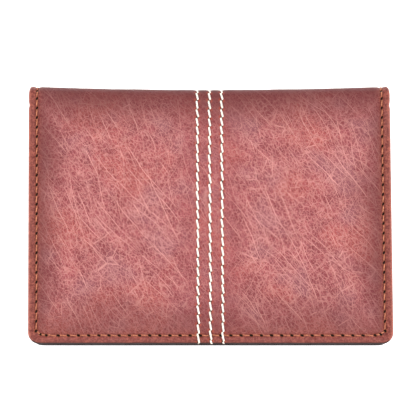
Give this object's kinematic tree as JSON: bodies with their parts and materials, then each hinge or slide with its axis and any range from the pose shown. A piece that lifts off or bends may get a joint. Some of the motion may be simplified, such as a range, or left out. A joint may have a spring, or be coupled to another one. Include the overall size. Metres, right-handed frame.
{
  "type": "business card case",
  "caption": "Fold-over leather business card case with a stitched edge, contrast accent stitching, inner card slots and a gusseted card pocket.",
  "frame": {"origin": "centre of the closed case's bounding box, at the height of the face it rests on", "axes": "+X along the fold, +Y from the free edges towards the fold, +Z out of the front cover"},
  "size_m": [0.108, 0.0776, 0.0125],
  "materials": {
    "cover_leather": "crackled pull-up leather, burnished darker at the edges, satin",
    "pocket_leather": "fine smooth leather, satin",
    "lining_leather": "thin smooth leather, satin",
    "gusset_leather": "thin soft leather, matt",
    "stiffener_board": "plain pressed board",
    "seam_thread": "twisted thread, tan",
    "accent_thread": "thick twisted thread, cream"
  },
  "bodies": {
    "back_cover": {"back_cover_leather": "cover_leather", "back_stiffener": "stiffener_board", "back_lining": "lining_leather", "back_edge_thread": "seam_thread", "back_accent_thread_left": "accent_thread", "back_accent_thread_middle": "accent_thread", "back_accent_thread_right": "accent_thread", "slip_pocket_panel": "pocket_leather", "back_inner_thread": "seam_thread", "pocket_gusset": "gusset_leather"},
    "spine": {"spine_leather": "cover_leather", "spine_lining": "lining_leather", "spine_edge_thread": "seam_thread", "spine_accent_thread_left": "accent_thread", "spine_accent_thread_middle": "accent_thread", "spine_accent_thread_right": "accent_thread"},
    "front_cover": {"front_cover_leather": "cover_leather", "front_stiffener": "stiffener_board", "front_lining": "lining_leather", "front_edge_thread": "seam_thread", "front_accent_thread_left": "accent_thread", "front_accent_thread_middle": "accent_thread", "front_accent_thread_right": "accent_thread", "card_slot_rear_panel": "pocket_leather", "card_slot_front_panel": "pocket_leather", "front_inner_thread": "seam_thread"},
    "card_pocket": {"pocket_front_panel": "pocket_leather", "pocket_seam_thread": "seam_thread"}
  },
  "joints": [
    {"name": "back_fold", "type": "hinge", "parent": "back_cover", "child": "spine", "pos_m": [0, 0.03794, 0.00086], "axis": [-1, 0, 0], "range_deg": [0, 90]},
    {"name": "front_fold", "type": "hinge", "parent": "spine", "child": "front_cover", "pos_m": [0, 0.03794, 0.01164], "axis": [-1, 0, 0], "range_deg": [0, 90]},
    {"name": "pocket_press", "type": "slide", "parent": "back_cover", "child": "card_pocket", "axis": [0, 0, 1], "range_m": [-0.0036, 0], "deforming": ["pocket_gusset"]}
  ],
  "couplings": [
    {"joint": "front_fold", "follows": "back_fold", "ratio": 1}
  ]
}
